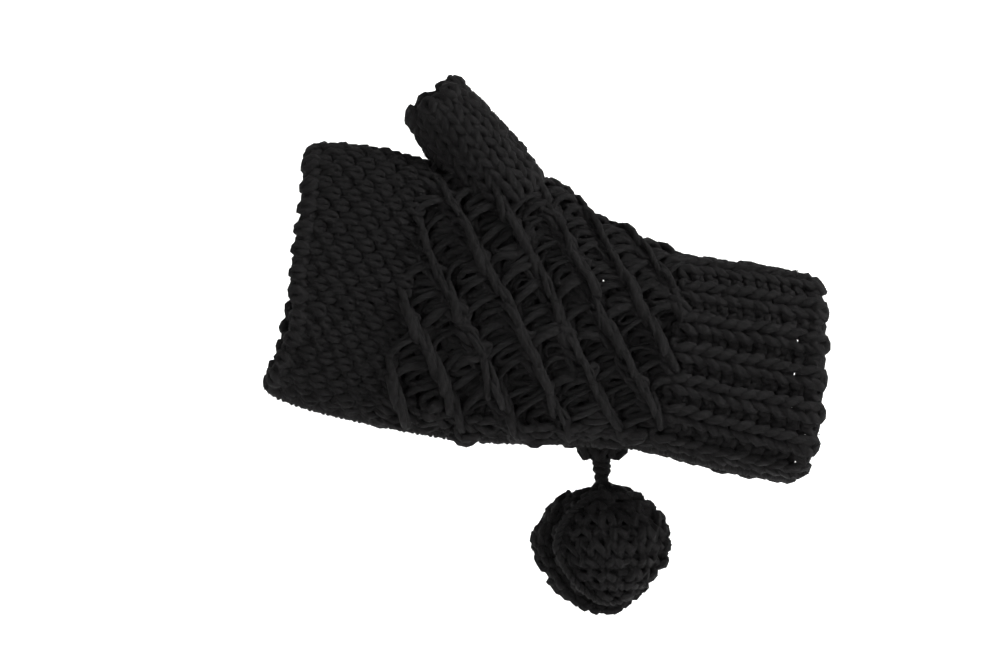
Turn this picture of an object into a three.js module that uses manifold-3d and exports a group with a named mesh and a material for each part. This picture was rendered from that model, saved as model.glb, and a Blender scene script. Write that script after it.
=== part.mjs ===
// Convertible flip-top mitten for the right hand, knitted in one chunky yarn: a ribbed
// cuff, an openwork hand, an open finger band, a thumb sleeve, and a cap that is sewn on
// across the knuckles. The cap is folded back over the back of the hand, and a crocheted
// bobble hangs from its gathered end. Millimetres, +Z up, +X towards the arm; the thumb
// is up and the palm faces -Y.
import * as THREE from 'three';
import { mergeVertices } from 'three/addons/utils/BufferGeometryUtils.js';
import Module from 'manifold-3d';

const wasm = await Module();
wasm.setup();

// ---- driving dimensions ----
const HAND_SLOPE = 10.6; // degrees the hand axis runs down towards the arm
const WALL = 3.6; // thickness of the knitted fabric
const GAP = 0.3; // clearance between neighbouring pieces
const FULLNESS = 2.5; // power of a cross-section: 2 is an ellipse, more is boxier
const ROUND = 36; // sides of the hand tube
const EDGE_ROLL = 0.7; // how far cast-on and cast-off edges stand proud

// Where each stretch of the tube ends, measured along the hand axis from the wrist.
const FINGER_END = -196;
const BAND_START = -191.5;
const BAND_STOP = -154.5;
const CUFF_START = -57;
const RIM = -5.5; // where the wrist rim's plane crosses the hand axis
const RIM_LEAN = 0.1; // the plane leans this far back per millimetre towards the thumb
const CAST_ON = 4.2;

// Seam along the little finger's side, in degrees either side of the tube's lowest line.
const SEAM_SLOT = 5.6;
const SEAM_HALF = 4.6;
const SEAM_PROUD = 1.1;

// Outline of the tube: [distance along the hand axis, size].
const THUMB_SIDE = [
  [-196, 39], [-190, 43.8], [-173, 45.8], [-152, 45.6], [-129, 46.6],
  [-111, 47.2], [-99, 42.6], [-88, 37.2], [-72, 32.8], [-57, 29.6], [-46, 30], [-29, 31], [0, 31],
];
const LITTLE_SIDE = [
  [-196, -40.5], [-190, -44], [-170, -46.6], [-129, -47.2],
  [-108, -45.2], [-82, -41.2], [-57, -38.8], [-29, -40.4], [0, -40.4],
];
const PALM_DEPTH = [[-196, 13.5], [-170, 15], [-129, 19], [-98, 20], [-57, 19], [-29, 21], [0, 23]];
const BACK_DEPTH = [[-196, 13.5], [-170, 15], [-103, 15.5], [-77, 16.5], [-57, 17.5], [-29, 20], [0, 22]];

// Thumb sleeve: a tube on its own axis.
const THUMB_BASE = [-136.2, -2, 50.1];
const THUMB_LEAN = -49.5; // degrees from the tube's thumb side towards the fingers
const THUMB_INSIDE = -16;
const GUSSET_STOP = 8.6;
const SLEEVE_START = 11.6;
const THUMB_EDGE = 21;
const THUMB_END = 24.5;
const THUMB_RADIUS = [[THUMB_INSIDE, 14.6], [0, 14.2], [12, 12.9], [THUMB_END, 11]];
const THUMB_WALL = 3;
const THUMB_SIDES = 24;

// Cap: a flat pocket on the back of the hand, its hinge line across the knuckles.
const HINGE_AT = [-171, 18.6, -2];
const HINGE_LEAN = 6; // degrees between the hinge line and a square cut of the hand
const CAP_WALL = 3.2;
const CAP_HALF_DEPTH = 6.6;
const CAP_EDGE_START = 1.7;
const CAP_MOUTH = 10;
const CAP_RIB_STOP = 22;
const CAP_PALM_STOP = 94.5;
const CAP_BACK_STOP = 96.2;
const CAP_SIDES = 16; // steps across one layer
const CAP_UPPER = [[0, 40], [32, 38.5], [64, 33], [85, 24.5], [97, 16]];
const CAP_LOWER = [[0, -40], [32, -39.5], [64, -36], [85, -30], [97, -25.5]];
const SEAM_REACH = 36; // half the length of the hinge seam
const HINGE_SEAM_HALF = 1.1;

// Bobble: hangs straight down from the cap's gathered end.
const TIP = [-72.2, HINGE_AT[1] + CAP_HALF_DEPTH - CAP_WALL / 2, -33];
const KNOT_RADIUS = 3;
const CORD_RADIUS = 2.1;
const CORD_LENGTH = 30;
const BALL_DROP = 30.8; // from the knot to the middle of the bobble
const BALL_SIDES = 30;

// ---- curves and bodies ----
function smooth(points) {
  // A smooth curve through [position, value] pairs, straight beyond its ends.
  const slope = points.map((p, i) => {
    const a = points[Math.max(i - 1, 0)];
    const b = points[Math.min(i + 1, points.length - 1)];
    return (b[1] - a[1]) / (b[0] - a[0]);
  });
  return (x) => {
    let i = 0;
    while (i < points.length - 2 && x > points[i + 1][0]) i += 1;
    const [a, b] = [points[i], points[i + 1]];
    const span = b[0] - a[0];
    const t = THREE.MathUtils.clamp((x - a[0]) / span, 0, 1);
    const [t2, t3] = [t * t, t * t * t];
    return (2 * t3 - 3 * t2 + 1) * a[1] + (t3 - 2 * t2 + t) * span * slope[i]
      + (3 * t2 - 2 * t3) * b[1] + (t3 - t2) * span * slope[i + 1];
  };
}

const steps = (from, to, count) => Array.from(
  { length: count + 1 },
  (_, i) => THREE.MathUtils.lerp(from, to, i / count),
);

function bodyFromFaces(points, faces) {
  // Faces point outwards whichever way the grid was walked.
  const volume = faces.reduce((sum, _, i) => {
    if (i % 3) return sum;
    const [a, b, c] = [points[faces[i]], points[faces[i + 1]], points[faces[i + 2]]];
    return sum + a.dot(b.clone().cross(c));
  }, 0);
  const geometry = new THREE.BufferGeometry().setFromPoints(points);
  geometry.setIndex(volume < 0 ? faces.slice().reverse() : faces);
  return geometry;
}

function walledBody(outer, inner, ring) {
  // A sheet with thickness between two grids of points, closed round when ring is true.
  const [rows, cols] = [outer.length, outer[0].length];
  const points = [...outer.flat(), ...inner.flat()];
  const at = (layer, i, j) => layer * rows * cols + i * cols + (j % cols);
  const faces = [];
  const quad = (a, b, c, d) => faces.push(a, b, c, a, c, d);
  const [last, end] = [rows - 1, cols - 1];
  for (let j = 0; j < (ring ? cols : end); j += 1) {
    for (let i = 0; i < last; i += 1) {
      quad(at(0, i, j), at(0, i, j + 1), at(0, i + 1, j + 1), at(0, i + 1, j));
      quad(at(1, i, j), at(1, i + 1, j), at(1, i + 1, j + 1), at(1, i, j + 1));
    }
    quad(at(0, 0, j), at(1, 0, j), at(1, 0, j + 1), at(0, 0, j + 1));
    quad(at(0, last, j), at(0, last, j + 1), at(1, last, j + 1), at(1, last, j));
  }
  for (let i = 0; i < last && !ring; i += 1) {
    quad(at(0, i, 0), at(0, i + 1, 0), at(1, i + 1, 0), at(1, i, 0));
    quad(at(0, i, end), at(1, i, end), at(1, i + 1, end), at(0, i + 1, end));
  }
  return bodyFromFaces(points, faces);
}

function solidBody(rings) {
  // A solid through closed rings of points, with a flat fan at each end.
  const cols = rings[0].length;
  const middle = (ring) => ring.reduce((a, p) => a.add(p), new THREE.Vector3()).divideScalar(cols);
  const points = [...rings.flat(), middle(rings[0]), middle(rings.at(-1))];
  const faces = [];
  const [first, last] = [rings.length * cols, rings.length * cols + 1];
  for (let j = 0; j < cols; j += 1) {
    const k = (j + 1) % cols;
    for (let i = 0; i < rings.length - 1; i += 1) {
      const [a, b] = [i * cols, (i + 1) * cols];
      faces.push(a + j, a + k, b + k, a + j, b + k, b + j);
    }
    const top = (rings.length - 1) * cols;
    faces.push(first, k, j, last, top + j, top + k);
  }
  return bodyFromFaces(points, faces);
}

function toSolid(geometry) {
  const plain = geometry.index ? geometry.clone() : mergeVertices(geometry);
  plain.deleteAttribute('normal');
  plain.deleteAttribute('uv');
  const merged = mergeVertices(plain);
  return new wasm.Manifold(new wasm.Mesh({
    numProp: 3,
    vertProperties: new Float32Array(merged.attributes.position.array),
    triVerts: new Uint32Array(merged.index.array),
  }));
}

function fromSolid(solid) {
  const mesh = solid.getMesh();
  const geometry = new THREE.BufferGeometry();
  geometry.setAttribute('position', new THREE.BufferAttribute(mesh.vertProperties, 3));
  geometry.setIndex(new THREE.BufferAttribute(mesh.triVerts, 1));
  return geometry;
}

function cut(geometry, ...tools) {
  return fromSolid(tools.reduce((solid, tool) => solid.subtract(toSolid(tool)), toSolid(geometry)));
}

const yarn = () => new THREE.MeshStandardMaterial({ color: 0x1a1819, roughness: 0.95, metalness: 0 });

function add(group, name, geometry) {
  const mesh = new THREE.Mesh(geometry, yarn());
  mesh.name = name;
  group.add(mesh);
}

// ---- the hand tube ----
const thumbSide = smooth(THUMB_SIDE);
const littleSide = smooth(LITTLE_SIDE);
const palmDepth = smooth(PALM_DEPTH);
const backDepth = smooth(BACK_DEPTH);
const slope = THREE.MathUtils.degToRad(HAND_SLOPE);
const bulge = (v) => Math.sign(v) * Math.abs(v) ** (2 / FULLNESS);

function tubePoint(along, degrees, grow) {
  // -90 degrees is the little finger's side, 0 the back of the hand, 90 the thumb's side.
  const a = THREE.MathUtils.degToRad(degrees);
  const [hi, lo] = [thumbSide(along), littleSide(along)];
  const depth = Math.cos(a) > 0 ? backDepth(along) : palmDepth(along);
  return new THREE.Vector3(
    along,
    (depth + grow) * bulge(Math.cos(a)),
    (hi + lo) / 2 + ((hi - lo) / 2 + grow) * bulge(Math.sin(a)),
  );
}

function tubeGrid(from, to, rows, angles, grow, lean) {
  // lean holds how much of the wrist rim's lean the two ends of the stretch take.
  return steps(from, to, rows).map((along, i) => angles.map((angle) => {
    const point = tubePoint(along, angle, grow);
    point.x -= RIM_LEAN * point.z * THREE.MathUtils.lerp(lean[0], lean[1], i / rows);
    return point;
  }));
}

const ringAngles = steps(0, 360, ROUND).slice(0, -1);
const slitAngles = steps(-90 + SEAM_SLOT, 270 - SEAM_SLOT, ROUND);
const seamAngles = steps(-90 - SEAM_HALF, -90 + SEAM_HALF, 4);

function tube(from, to, rows, { angles = slitAngles, proud = 0, lean = [0, 0] } = {}) {
  const outer = tubeGrid(from, to, rows, angles, proud, lean);
  const inner = tubeGrid(from, to, rows, angles, -WALL, lean);
  return walledBody(outer, inner, angles === ringAngles);
}

// ---- the thumb ----
const thumbRadius = smooth(THUMB_RADIUS);

function thumbRing(height, grow) {
  return steps(0, 360, THUMB_SIDES).slice(0, -1).map((degrees) => {
    const a = THREE.MathUtils.degToRad(degrees);
    const r = thumbRadius(height) + grow;
    return new THREE.Vector3(r * Math.cos(a), r * Math.sin(a), height);
  });
}

function thumbTube(from, to, rows, proud = 0) {
  const heights = steps(from, to, rows);
  return walledBody(
    heights.map((h) => thumbRing(h, proud)),
    heights.map((h) => thumbRing(h, -THUMB_WALL)),
    true,
  );
}

// ---- the cap, in its own frame: X along the fold, Y away from the hand, Z along the hinge ----
const capUpper = smooth(CAP_UPPER);
const capLower = smooth(CAP_LOWER);
const capMiddle = CAP_HALF_DEPTH - CAP_WALL / 2; // the hinge axis is inside the under layer

function capPoint(along, share, side, shrink) {
  // share runs 0 to 180 degrees across a layer; side is 1 for the palm layer, -1 under it.
  const a = THREE.MathUtils.degToRad(share);
  const [hi, lo] = [capUpper(along), capLower(along)];
  return new THREE.Vector3(
    along,
    capMiddle + side * ((CAP_HALF_DEPTH - shrink) * bulge(Math.sin(a)) + GAP / 2),
    (hi + lo) / 2 + ((hi - lo) / 2 - shrink) * Math.cos(a),
  );
}

function capLayer(from, to, rows, side, proud = 0) {
  const shares = steps(0, 180, CAP_SIDES);
  const grid = (shrink) => steps(from, to, rows).map(
    (along) => shares.map((share) => capPoint(along, share, side, shrink)),
  );
  return walledBody(grid(-proud), grid(CAP_WALL), false);
}

function gatheredEnd(tip) {
  // The cap's rounds draw together and droop: each section turns about the lower corner,
  // until the last ones lie level above the tip.
  const lean = THREE.MathUtils.degToRad(HINGE_LEAN + HAND_SLOPE);
  const level = (rise, half) => [
    tip.x - rise * Math.sin(lean) + half * Math.cos(lean),
    tip.z + rise * Math.cos(lean) + half * Math.sin(lean),
  ];
  const start = CAP_BACK_STOP + 0.4;
  const outer = [
    [start, 15.5], [start + 8, 9], [start + 14, 0], [start + 18, -11], level(8, 9.5), level(3.4, 6.5),
  ];
  const inner = [
    [start, -25], [start + 0.4, -25.4], [start + 0.9, -25.9], [start + 1.4, -26.5],
    level(8, -9.5), level(3.4, -6.5),
  ];
  const depth = [6.4, 6.2, 6, 5.6, 5, 3.6];
  const rings = outer.map(([x, z], i) => steps(0, 360, 16).slice(0, -1).map((degrees) => {
    const a = THREE.MathUtils.degToRad(degrees);
    const share = (1 + Math.cos(a)) / 2;
    return new THREE.Vector3(
      THREE.MathUtils.lerp(inner[i][0], x, share),
      capMiddle + depth[i] * bulge(Math.sin(a)),
      THREE.MathUtils.lerp(inner[i][1], z, share),
    );
  }));
  return solidBody(rings);
}

function hingeSeam() {
  // A strip whose foot follows the band's back and whose ridge holds the hinge axis.
  const clear = 0.35;
  const ridge = HINGE_AT[1] + 0.8;
  const foot = steps(-SEAM_REACH, SEAM_REACH, 16).map((z) => {
    const along = HINGE_AT[0];
    const [hi, lo] = [thumbSide(along), littleSide(along)];
    const share = (z + HINGE_AT[2] - (hi + lo) / 2) / ((hi - lo) / 2);
    const y = backDepth(along) * (1 - Math.abs(share) ** FULLNESS) ** (1 / FULLNESS);
    return [z, y + clear - HINGE_AT[1]];
  });
  const outline = new THREE.Shape();
  outline.moveTo(foot[0][0], ridge - HINGE_AT[1]);
  foot.forEach(([z, y]) => outline.lineTo(z, y));
  outline.lineTo(foot.at(-1)[0], ridge - HINGE_AT[1]);
  outline.closePath();
  const strip = new THREE.ExtrudeGeometry(outline, { depth: 2 * HINGE_SEAM_HALF, bevelEnabled: false });
  strip.translate(0, 0, -HINGE_SEAM_HALF);
  // The shape's X is the hinge line and its extrusion runs along the fold.
  strip.rotateY(-Math.PI / 2);
  return strip;
}

// ---- the bobble ----
function dome(radius, height, depth, wall, side) {
  // Half an ellipsoid shell that opens on its flat side; side 1 faces +Y.
  const grid = (shrink) => steps(0, 84, 6).map((lift) => steps(0, 360, BALL_SIDES).slice(0, -1).map(
    (degrees) => {
      const [a, b] = [THREE.MathUtils.degToRad(degrees), THREE.MathUtils.degToRad(lift)];
      return new THREE.Vector3(
        (radius - shrink) * Math.cos(b) * Math.cos(a),
        side * (depth - shrink) * Math.sin(b),
        (height - shrink) * Math.cos(b) * Math.sin(a),
      );
    },
  ));
  return walledBody(grid(0), grid(wall), true);
}

function flatRing(outer, inner, thickness) {
  const grid = (size) => [-thickness / 2, thickness / 2].map((y) => steps(0, 360, BALL_SIDES)
    .slice(0, -1).map((degrees) => {
      const a = THREE.MathUtils.degToRad(degrees);
      return new THREE.Vector3(size[0] * Math.cos(a), y, size[1] * Math.sin(a));
    }));
  return walledBody(grid(outer), grid(inner), true);
}

// ---- assembly ----
const group = new THREE.Group();
const mitt = new THREE.Group();
mitt.rotation.y = slope;
group.add(mitt);

const thumb = new THREE.Group();
thumb.position.set(...THUMB_BASE);
thumb.rotation.y = THREE.MathUtils.degToRad(THUMB_LEAN);
mitt.add(thumb);

const cap = new THREE.Group();
cap.position.set(...HINGE_AT);
cap.rotation.y = THREE.MathUtils.degToRad(HINGE_LEAN);
mitt.add(cap);

const bobble = new THREE.Group();
bobble.position.set(...TIP);
group.add(bobble);

group.updateMatrixWorld(true);

// Cuff, hand and finger band, closed by the side seam.
const ring = { angles: ringAngles, proud: EDGE_ROLL };
const cuffStop = RIM - CAST_ON;
add(mitt, 'finger_cast_off', tube(FINGER_END, BAND_START, 2, ring));
add(mitt, 'finger_band', tube(BAND_START + GAP, BAND_STOP, 5));
add(mitt, 'wrist_cuff', tube(CUFF_START, cuffStop, 6, { lean: [0, 1] }));
add(mitt, 'cuff_cast_on', tube(cuffStop + GAP, RIM, 1, { ...ring, lean: [1, 1] }));
const seamLine = { angles: seamAngles, proud: SEAM_PROUD, lean: [0, 1] };
add(mitt, 'side_seam', tube(BAND_START + GAP, cuffStop, 22, seamLine));

// The hand has a hole where the thumb gusset passes through it.
const toMitt = thumb.matrix;
const thumbPlug = solidBody(steps(THUMB_INSIDE - GAP, THUMB_END, 8).map((h) => thumbRing(h, GAP)));
thumbPlug.applyMatrix4(toMitt);
const handCore = solidBody(
  steps(-186, -62, 24).map((along) => ringAngles.map((a) => tubePoint(along, a, -WALL))),
);
handCore.applyMatrix4(toMitt.clone().invert());
add(mitt, 'hand_body', cut(tube(BAND_STOP + GAP, CUFF_START - GAP, 12), thumbPlug));
add(thumb, 'thumb_gusset', cut(thumbTube(THUMB_INSIDE, GUSSET_STOP, 4), handCore));
add(thumb, 'thumb_sleeve', thumbTube(SLEEVE_START, THUMB_EDGE - GAP, 2));
add(thumb, 'thumb_cast_off', thumbTube(THUMB_EDGE, THUMB_END, 1, EDGE_ROLL));

// Folded cap.
add(cap, 'cap_hinge_seam', hingeSeam());
add(cap, 'cap_back_layer', capLayer(CAP_EDGE_START, CAP_BACK_STOP, 12, -1));
add(cap, 'cap_palm_layer', capLayer(CAP_RIB_STOP + GAP, CAP_PALM_STOP, 9, 1));
add(cap, 'cap_mouth_rib', capLayer(CAP_MOUTH, CAP_RIB_STOP, 2, 1, 0.5));
const tipInCap = cap.worldToLocal(new THREE.Vector3(...TIP));
add(cap, 'cap_gathered_end', gatheredEnd(tipInCap));

// Bobble and its cord.
const corridor = new THREE.CylinderGeometry(CORD_RADIUS + 0.4, CORD_RADIUS + 0.4, CORD_LENGTH + 1, 12);
corridor.rotateX(Math.PI / 2);
corridor.translate(0, 0, BALL_DROP - KNOT_RADIUS - GAP - CORD_LENGTH / 2);
const ball = new THREE.Group();
ball.position.z = -BALL_DROP;
bobble.add(ball);
add(bobble, 'cord_knot', new THREE.SphereGeometry(KNOT_RADIUS, 14, 8));
const cord = new THREE.CylinderGeometry(CORD_RADIUS, CORD_RADIUS, CORD_LENGTH, 10);
cord.rotateX(Math.PI / 2);
cord.translate(0, 0, -KNOT_RADIUS - GAP - CORD_LENGTH / 2);
add(bobble, 'bobble_cord', cord);
const rimDisc = flatRing([26, 23.5], [18, 16.5], 2.6);
const backCup = dome(23.5, 21.5, 15, 3, 1);
backCup.translate(0, 1.3 + GAP, 0);
const frontCup = dome(21.5, 20, 17, 3, -1);
frontCup.translate(0, -1.3 - GAP, 0);
const stuffing = new THREE.SphereGeometry(1, 20, 10);
stuffing.scale(15.5, 12.5, 14.5);
add(ball, 'bobble_rim_disc', cut(rimDisc, corridor));
add(ball, 'bobble_back_cup', cut(backCup, corridor));
add(ball, 'bobble_front_cup', cut(frontCup, corridor));
add(ball, 'bobble_stuffing', cut(stuffing, corridor));

export default group;
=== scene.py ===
# %% [markdown]
# # A convertible flip-top mitten, stitch by stitch
# A hand-knitted mitten is one long yarn pulled through itself. It could be made as a smooth
# shell with a knitted bump texture, but a bump can't show the scalloped edges, the holes or
# the way the rows pass over each other. So every stitch here is a real loop of yarn that is
# laid on the shape of the mitten, and only the fibres inside the yarn are left to a material.
#
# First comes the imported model, which gives every piece its place and its body.

# %% Load the frame
import math

import bpy
import numpy as np
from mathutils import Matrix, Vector


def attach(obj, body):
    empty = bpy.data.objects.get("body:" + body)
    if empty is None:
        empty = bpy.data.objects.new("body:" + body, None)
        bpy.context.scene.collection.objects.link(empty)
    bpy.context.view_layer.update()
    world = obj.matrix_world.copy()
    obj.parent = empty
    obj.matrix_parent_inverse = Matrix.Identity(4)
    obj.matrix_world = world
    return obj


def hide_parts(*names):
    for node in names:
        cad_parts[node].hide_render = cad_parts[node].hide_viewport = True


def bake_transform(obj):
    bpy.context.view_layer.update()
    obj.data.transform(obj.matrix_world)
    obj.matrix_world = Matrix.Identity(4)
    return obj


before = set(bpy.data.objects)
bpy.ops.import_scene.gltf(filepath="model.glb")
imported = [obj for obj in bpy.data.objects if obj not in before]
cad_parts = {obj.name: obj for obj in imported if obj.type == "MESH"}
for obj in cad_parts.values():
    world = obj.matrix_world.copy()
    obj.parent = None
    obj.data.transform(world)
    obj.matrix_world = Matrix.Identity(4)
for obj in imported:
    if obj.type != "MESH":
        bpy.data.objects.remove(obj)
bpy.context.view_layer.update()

# %% [markdown]
# ## Camera
# The mitten is seen from the palm's side, level with it, and turned a little towards the
# fingers. A long lens at arm's length keeps the two ends of the mitten the same size. A
# short lens would fit into a smaller studio, but it would swell whatever is nearest.

# %% Camera
VIEW_TURN = math.radians(14)
VIEW_DISTANCE = 1.3
PICTURE_WIDTH = 0.345
SENSOR_WIDTH = 36
aim = Vector((-0.1165, -0.005, 0.0126))
look = Vector((math.sin(VIEW_TURN), math.cos(VIEW_TURN), 0))
camera_data = bpy.data.cameras.new("camera")
camera_data.sensor_width = SENSOR_WIDTH
camera_data.lens = SENSOR_WIDTH * VIEW_DISTANCE / PICTURE_WIDTH
camera = bpy.data.objects.new("camera", camera_data)
camera.location = aim - look * VIEW_DISTANCE
camera.rotation_euler = look.to_track_quat("-Z", "Y").to_euler()
bpy.context.collection.objects.link(camera)
bpy.context.scene.camera = camera
print("camera at", tuple(round(x, 3) for x in camera.location), "lens", round(camera_data.lens, 1))

# %% [markdown]
# ## From yarn path to mesh
# A strand is a path with the direction that the fabric faces at each point and a thickness.
# Blender's curve bevel could make it round, but spun yarn isn't round: three plies wind
# about each other. So the tube is swept here, and its section has three soft lobes that turn
# along the length. The tube's own coordinates (length, turn round the yarn) are kept as a UV
# map for the fibres. A few loose fibres stand out of each strand, which is what makes wool
# look woolly against a light ground. A particle system would grow more of them, but it would
# not be part of the mesh, so it would be lost wherever else the mitten is used.

# %% Strands into meshes
PLIES = 3
PLY_DEPTH = 0.17
PLY_LENGTH = 9.0  # millimetres of yarn for one full turn of the plies
MM = 0.001  # the frame is in metres; everything here is worked out in millimetres
random = np.random.default_rng(7)


def unit(vectors):
    return vectors / np.maximum(np.linalg.norm(vectors, axis=-1, keepdims=True), 1e-9)


def strand_frames(path, facing):
    along = unit(np.gradient(path, axis=0))
    out = unit(facing - along * np.sum(facing * along, axis=1, keepdims=True))
    return along, out, np.cross(along, out)


def sweep(path, facing, thick, sides):
    """One strand as vertices, quads with their UVs, and the triangles that close its ends."""
    along, out, side = strand_frames(path, facing)
    length = np.concatenate([[0], np.cumsum(np.linalg.norm(np.diff(path, axis=0), axis=1))])
    turn = np.arange(sides) * 2 * math.pi / sides
    lobe = 1 + PLY_DEPTH * np.cos(PLIES * turn[None] - 2 * math.pi * PLIES * length[:, None] / PLY_LENGTH)
    reach = (thick[:, None] * lobe)[..., None]
    ring = out[:, None] * np.cos(turn)[None, :, None] + side[:, None] * np.sin(turn)[None, :, None]
    body = path[:, None] + reach * ring
    ends = np.stack([path[0] - along[0] * thick[0] * 0.6, path[-1] + along[-1] * thick[-1] * 0.6])
    points = np.concatenate([body.reshape(-1, 3), ends])
    rows, start = len(path), np.arange(len(path) - 1)[:, None] * sides
    here = np.arange(sides)[None]
    after = (here + 1) % sides
    quads = np.stack([start + here, start + after, start + sides + after, start + sides + here], -1)
    a, b = length[:-1, None] / 10 + 0 * here, length[1:, None] / 10 + 0 * here
    c, d = here / sides + 0 * a, (here + 1) / sides + 0 * a
    quad_uv = np.stack([np.stack(pair, -1) for pair in ((a, c), (a, d), (b, d), (b, c))], -2)
    here, after, first = here[0], after[0], rows * sides
    last = (rows - 1) * sides
    caps = np.concatenate([
        np.stack([here * 0 + first, after, here], -1),
        np.stack([here * 0 + first + 1, last + here, last + after], -1),
    ])
    return points, quads.reshape(-1, 4), quad_uv.reshape(-1, 4, 2), caps


FIBRE_ROOT, FIBRE_MIDDLE = 0.1, 0.08  # a fibre's radius where it starts and half way
SLIVER = np.array([(0, 2, 1), (3, 4, 6), (4, 5, 6), (5, 3, 6),
                   (0, 1, 4), (0, 4, 3), (1, 2, 5), (1, 5, 4), (2, 0, 3), (2, 3, 5)])


def loose_fibres(strands, each, reach):
    """Short tapering fibres, `each` to a strand's centimetre, as closed three-sided slivers."""
    points, faces, total = [], [], 0
    for path, facing, thick in strands:
        along, out, side = strand_frames(path, facing)
        length = np.linalg.norm(np.diff(path, axis=0), axis=1).sum()
        count = int(length / 10 * each + random.random())
        if not count:
            continue
        at = random.integers(0, len(path), count)
        turn = random.uniform(0, 2 * math.pi, (count, 1))
        away = out[at] * np.cos(turn) + side[at] * np.sin(turn)
        run = along[at] * random.choice([-1, 1], (count, 1))
        size = reach * random.uniform(0.35, 1, (count, 1)) ** 1.5
        root = path[at] + away * thick[at, None] * 0.8
        middle = root + size * 0.5 * unit(run * 0.8 + away * 0.7 + random.normal(0, 0.3, (count, 3)))
        tip = middle + size * 0.6 * unit(run + away * 0.15 + random.normal(0, 0.45, (count, 3)))
        stem = unit(middle - root)
        across = unit(np.cross(stem, away + 1e-3))
        up = np.cross(stem, across)
        corner = [across, -0.5 * across + 0.87 * up, -0.5 * across - 0.87 * up]
        rings = [root + FIBRE_ROOT * k for k in corner] + [middle + FIBRE_MIDDLE * k for k in corner] + [tip]
        points.append(np.stack(rings, 1).reshape(-1, 3))
        base = total + len(rings) * np.arange(count)[:, None]
        faces.append((base[:, :, None] + SLIVER[None]).reshape(-1, 3))
        total += len(rings) * count
    if not points:
        return np.zeros((0, 3)), np.zeros((0, 3), int)
    return np.concatenate(points), np.concatenate(faces)


def yarn_piece(name, strands, sides=10, fuzz=6.0, fuzz_reach=4.2):
    """A mesh object from strands in millimetres, with its yarn coordinates and loose fibres."""
    points, quads, uvs, caps, total = [], [], [], [], 0
    for path, facing, thick in strands:
        tube, tube_quads, tube_uvs, tube_caps = sweep(path, facing, thick, sides)
        points.append(tube)
        quads.append(tube_quads + total)
        uvs.append(tube_uvs)
        caps.append(tube_caps + total)
        total += len(tube)
    wisps, wisp_faces = loose_fibres(strands, fuzz, fuzz_reach)
    caps = np.concatenate(caps + [wisp_faces + total])
    quads, uvs = np.concatenate(quads), np.concatenate(uvs)
    points = np.concatenate(points + [wisps]) * MM
    mesh = bpy.data.meshes.new(name)
    mesh.from_pydata(points.tolist(), [], quads.tolist() + caps.tolist())
    mesh.polygons.foreach_set("use_smooth", [True] * len(mesh.polygons))
    layer = mesh.uv_layers.new(name="yarn")
    flat = np.concatenate([uvs.reshape(-1), np.tile([0.0, 0.5], 3 * len(caps))])
    layer.data.foreach_set("uv", flat.astype(np.float32))
    mesh.update()
    piece = bpy.data.objects.new(name, mesh)
    bpy.context.collection.objects.link(piece)
    print(f"{name}: {len(strands)} strands, {2 * len(quads) + len(caps)} triangles")
    return piece


# %% [markdown]
# ## The bobble's cord
# The bobble hangs from the cap's end on a short cord of three yarns twisted together. It is
# limp and hangs straight down, so its route is one straight line: out of the knot, into the
# bobble. A curve with a round bevel would do for the route, but the twist of the yarns is
# the whole look of it, so they are swept as three helices about that line.

# %% Cord
CORD_EXIT = np.array([-72.2, 23.6, -36.3])
CORD_LENGTH = 30.0
CORD_TWIST = 9.0
CORD_YARN, CORD_WIND = 1.4, 1.2  # radius of a yarn, and of the helix that it follows
DOWN = np.array([0.0, 0.0, -1.0])
TOWARDS_PALM = [0.0, -1.0, 0.0]


def twisted(line, facing, wide, deep, pitch, thick, count):
    """Strands that wind about a line, `pitch` millimetres to the turn."""
    along, out, side = strand_frames(line, facing)
    length = np.concatenate([[0], np.cumsum(np.linalg.norm(np.diff(line, axis=0), axis=1))])
    found = []
    for i in range(count):
        turn = (2 * math.pi * (length / pitch + i / count))[:, None]
        path = line + out * deep * np.cos(turn) + side * wide * np.sin(turn)
        found.append((path, out, np.full(len(path), thick)))
    return found


cord_line = CORD_EXIT + DOWN * np.linspace(0, CORD_LENGTH, 61)[:, None]
cord_facing = np.tile(TOWARDS_PALM, (len(cord_line), 1))
cord = yarn_piece("bobble_cord_yarn", twisted(
    cord_line, cord_facing, CORD_WIND, CORD_WIND, CORD_TWIST, CORD_YARN, count=3), fuzz_reach=1.6)

# %% [markdown]
# ## The mitten's shape, as a place to lay stitches
# The same outlines as the solid model: a hand tube whose section is a full oval, a thumb
# tube on its own axis, and a flat cap. Each surface is a function of how far along it a point
# is and at what angle round it. Stitches are all the same width, so equal steps of angle
# won't do: the oval's flat sides would get wide stitches and its edges narrow ones. A table
# turns a share of the way round into the angle that has that share of the length before it.

# %% Curves and even spacing
def smooth(points):
    """A smooth curve through (position, value) pairs, the same as in the solid model."""
    xs, ys = np.array(points, float).T
    before, after = np.maximum(np.arange(len(xs)) - 1, 0), np.minimum(np.arange(len(xs)) + 1, len(xs) - 1)
    slopes = (ys[after] - ys[before]) / (xs[after] - xs[before])

    def value(x):
        i = np.clip(np.searchsorted(xs, x) - 1, 0, len(xs) - 2)
        span = xs[i + 1] - xs[i]
        t = np.clip((x - xs[i]) / span, 0, 1)
        return ((2 * t**3 - 3 * t**2 + 1) * ys[i] + (t**3 - 2 * t**2 + t) * span * slopes[i]
                + (3 * t**2 - 2 * t**3) * ys[i + 1] + (t**3 - t**2) * span * slopes[i + 1])
    return value


def leant(angle):
    """Axes turned about Y, for points written as rows."""
    return np.array([[math.cos(angle), 0, -math.sin(angle)],
                     [0, 1, 0],
                     [math.sin(angle), 0, math.cos(angle)]])


def bulge(v, fullness=2.5):
    """A sine or cosine made fuller, so that a round section becomes a full oval."""
    return np.sign(v) * np.abs(v) ** (2 / fullness)


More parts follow.
